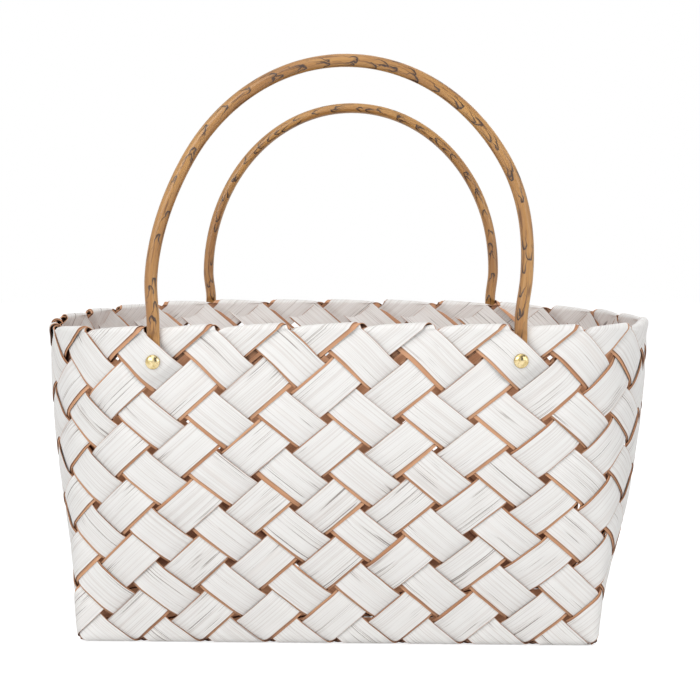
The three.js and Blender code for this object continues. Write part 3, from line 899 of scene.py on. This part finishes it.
def flame_marks(g, pitch, rows, seed):
    """Dark tongues burnt into the cane: each has a closed tip, and two lines that trail away from it."""
    bent = g.math("SUBTRACT", g.noise(g.uv(150, 5, seed), 2, 0.5), 0.5)
    across = g.math("ADD", g.math("MULTIPLY", g.uv_part("Y"), float(rows)), g.math("MULTIPLY", bent, 0.55))
    column = g.math("FLOOR", across)
    row_seed = {"W": g.math("ADD", column, seed)}
    stagger = g.node("ShaderNodeTexWhiteNoise", row_seed, noise_dimensions="1D").outputs[0]
    along = g.math("MULTIPLY", g.uv_part("X"), 1 / (pitch * MM))
    along = g.math("ADD", along, g.math("MULTIPLY", stagger, 7.0))
    along = g.math("ADD", along, g.math("MULTIPLY", bent, 0.12))
    cell = g.math("FLOOR", along)
    where = g.node("ShaderNodeCombineXYZ", {"X": cell, "Y": column, "Z": seed}).outputs[0]
    chance = g.node("ShaderNodeTexWhiteNoise", {"Vector": where}, noise_dimensions="3D")
    random = g.node("ShaderNodeSeparateColor", {"Color": chance.outputs["Color"]}).outputs
    tip = g.math("ADD", 0.72, g.math("MULTIPLY", random["Red"], 0.2))
    middle = g.math("ADD", 0.38, g.math("MULTIPLY", random["Green"], 0.24))
    width = math.pi * CANE_DIAMETER / rows
    x = g.math("MULTIPLY", g.math("SUBTRACT", g.math("SUBTRACT", across, column), middle), width)
    behind = g.math("MULTIPLY", g.math("SUBTRACT", tip, g.math("SUBTRACT", along, cell)), pitch)
    steep = g.math("ADD", 1.1, g.math("MULTIPLY", random["Blue"], 1.6))
    curve = g.math("MULTIPLY", steep, g.math("MULTIPLY", x, x))
    slope = g.math("MULTIPLY", g.math("MULTIPLY", 2.0, steep), x)
    slope = g.math("SQRT", g.math("ADD", 1.0, g.math("MULTIPLY", slope, slope)))
    away = g.math("DIVIDE", g.math("ABSOLUTE", g.math("SUBTRACT", behind, curve)), slope)
    thick = g.step(behind, 0.0, 7.0, 0.5, 0.2)
    line = g.math("SUBTRACT", 1.0, g.step(g.math("DIVIDE", away, thick), 0.6, 1.3))
    line = g.math("MULTIPLY", line, g.step(behind, 2.0, 11.0, 1.0, 0.15))
    inside = g.math("SUBTRACT", behind, curve)
    blot = g.math("MULTIPLY", g.step(inside, 0.0, 0.4), g.math("SUBTRACT", 1.0, g.step(inside, 0.8, 3.2)))
    line = g.math("MAXIMUM", line, g.math("MULTIPLY", blot, 0.45))
    shown = g.step(chance.outputs["Value"], 0.28, 0.34)
    return g.math("MULTIPLY", line, shown)


def cane_material():
    """Varnished amber cane with streaks and two sizes of dark flame marks."""
    g = Graph(bpy.data.materials.new("varnished_cane"))
    fibre = g.noise(g.uv(70, 22, 0.4), 4, 0.6)
    tone = g.noise(g.uv(14, 3, 2.7), 2, 0.5)
    streaks = g.noise(g.uv(45, 14, 6.3), 2, 0.5, 0.3)
    color = g.mix(g.step(tone, 0.3, 0.7), CANE_LIGHT, CANE_DARK)
    color = g.mix(g.step(fibre, 0.45, 0.75, 0.0, 0.6), color, CANE_FIBRES)
    color = g.mix(g.step(streaks, 0.58, 0.68, 0.0, 0.75), color, CANE_STREAKS)
    marks = g.math("MAXIMUM", flame_marks(g, 14.0, 3, 3.7), flame_marks(g, 17.0, 2, 11.9))
    color = g.mix(g.math("MULTIPLY", marks, 0.92), color, CANE_MARKS)
    return g.finish(Base_Color=color, Roughness=0.4, Coat_Weight=0.25, Coat_Roughness=0.25,
                    Normal=g.bump(fibre, 0.15, 0.0005))


def brass_material():
    g = Graph(bpy.data.materials.new("polished_brass"))
    place = g.node("ShaderNodeTexCoord").outputs["Object"]
    fine = g.node("ShaderNodeMapping", {"Vector": place, "Scale": (400, 400, 400)}).outputs[0]
    blotch = g.noise(fine, 3, 0.6)
    color = g.mix(g.step(blotch, 0.35, 0.7), BRASS_LIGHT, BRASS_DARK)
    return g.finish(Base_Color=color, Metallic=1.0, Roughness=g.step(blotch, 0.3, 0.8, 0.16, 0.28))


# Build

paint, raw, varnished, brass = painted_wood(), raw_wood(), cane_material(), brass_material()
for rising in (True, False):
    for index in range(SQUARES_LONG + SQUARES_DEEP):
        strip = Strip(rising, index)
        piece = strip_object(strip, paint, raw)
        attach(piece, "root")
        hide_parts(strip.name())

for wall_name, legs in (("front", FRONT_LEGS), ("back", BACK_LEGS)):
    frames = [rivet_frame(leg) for leg in legs]
    cane = handle_object(f"handle_{wall_name}_cane", *frames, len(wall_name), varnished)
    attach(cane, "root")
    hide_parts(f"handle_{wall_name}")
    sides = ("left", "right") if wall_name == "front" else ("right", "left")
    for side, f in zip(sides, frames):
        for kind, profile in (("rivet", rivet_profile()), ("washer", washer_profile())):
            piece = turned_object(f"{kind}_{wall_name}_{side}_turned", profile, f, brass)
            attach(piece, "root")
            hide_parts(f"{kind}_{wall_name}_{side}")


# Stage, light and camera

FLOOR_SIZE = 12.0
FLOOR_GAP = 0.0003
FLOOR_ALBEDO = 0.6
FLOOR_GLOW = 0.72
AMBIENT = 0.52
CAMERA_PLACE = (0.0357, -0.9463, 0.245)
CAMERA_YAW, CAMERA_PITCH = 0.0319, 0.0695
GAP_BEHIND = -0.1
GAP_MIDDLE = 0.38
GAP_HALF = 0.3
GAP_DARKNESS = 0.92


def floor():
    """A pale floor that keeps the basket's shadow, and is white where the camera sees it unshaded."""
    mesh = bpy.data.meshes.new("floor")
    half = FLOOR_SIZE / 2
    corners = [(-half, -half, 0), (half, -half, 0), (half, half, 0), (-half, half, 0)]
    mesh.from_pydata(corners, [], [(0, 1, 2, 3)])
    obj = scene_object("floor", mesh)
    obj.location.z = -FLOOR_GAP
    g = Graph(bpy.data.materials.new("pale_floor"))
    g.finish(Base_Color=(FLOOR_ALBEDO, FLOOR_ALBEDO, FLOOR_ALBEDO, 1), Roughness=0.9)
    plain = g.shader.outputs[0]
    glow = g.node("ShaderNodeEmission", {"Color": (1, 1, 1, 1), "Strength": FLOOR_GLOW}).outputs[0]
    both = g.node("ShaderNodeAddShader", {0: plain, 1: glow}).outputs[0]
    g.put(g.surface, g.node("ShaderNodeMixShader", {0: g.seen_directly(), 1: plain, 2: both}).outputs[0])
    mesh.materials.append(g.owner)


def world():
    """Soft light from all round, seen as plain white, but for a dark gap in what shines."""
    w = bpy.data.worlds.new("studio")
    bpy.context.scene.world = w
    g = Graph(w, "Background", "World Output")
    g.finish(Color=(0.97, 0.985, 1, 1), Strength=AMBIENT)
    # The gap lies behind the camera, as the space between two soft boxes does.
    generated = g.node("ShaderNodeTexCoord").outputs["Generated"]
    way = g.node("ShaderNodeSeparateXYZ", {"Vector": generated}).outputs
    aside = g.math("ABSOLUTE", g.math("SUBTRACT", way["X"], GAP_MIDDLE))
    gap = g.math("MULTIPLY", g.math("LESS_THAN", aside, GAP_HALF), g.math("LESS_THAN", way["Y"], GAP_BEHIND))
    mirrored = g.math("MULTIPLY", g.node("ShaderNodeLightPath").outputs["Is Glossy Ray"], gap)
    strength = g.math("SUBTRACT", 1.0, g.math("MULTIPLY", mirrored, GAP_DARKNESS))
    white = g.node("ShaderNodeBackground", {"Color": (1, 1, 1, 1), "Strength": strength}).outputs[0]
    mixed = {0: g.seen_directly(), 1: g.shader.outputs[0], 2: white}
    g.put(g.surface, g.node("ShaderNodeMixShader", mixed).outputs[0])


def lamp(name, place, target, size, power):
    """A soft box that faces its target."""
    data = bpy.data.lights.new(name, "AREA")
    data.shape = "RECTANGLE"
    data.size, data.size_y = size
    data.energy = power
    obj = scene_object(name, data)
    obj.location = place
    obj.rotation_mode = "QUATERNION"
    obj.rotation_quaternion = (Vector(target) - Vector(place)).to_track_quat("-Z", "Y")


def camera():
    """The photograph's view, from slightly right of the middle and slightly above the rim."""
    data = bpy.data.cameras.new("camera")
    data.lens, data.sensor_width = 70.0, 36.0
    obj = scene_object("camera", data)
    yaw, pitch = CAMERA_YAW, CAMERA_PITCH
    obj.location = CAMERA_PLACE
    way = Vector((-math.sin(yaw) * math.cos(pitch), math.cos(yaw) * math.cos(pitch), -math.sin(pitch)))
    obj.rotation_mode = "QUATERNION"
    obj.rotation_quaternion = way.to_track_quat("-Z", "Y")
    data.clip_start = 0.01
    bpy.context.scene.camera = obj


floor()
world()
lamp("key", (-1.0, -1.7, 0.95), (0, 0, 0.12), (1.2, 1.0), 14.5)
lamp("fill", (1.3, -1.5, 0.7), (0, 0, 0.12), (1.2, 1.0), 9.0)
lamp("top", (0, -0.9, 1.7), (0, 0.1, 0.2), (1.6, 1.2), 5.5)
lamp("back", (0.5, 1.9, 1.3), (0, 0, 0.12), (1.6, 1.2), 9.0)
camera()
bpy.context.scene.view_settings.view_transform = "Standard"
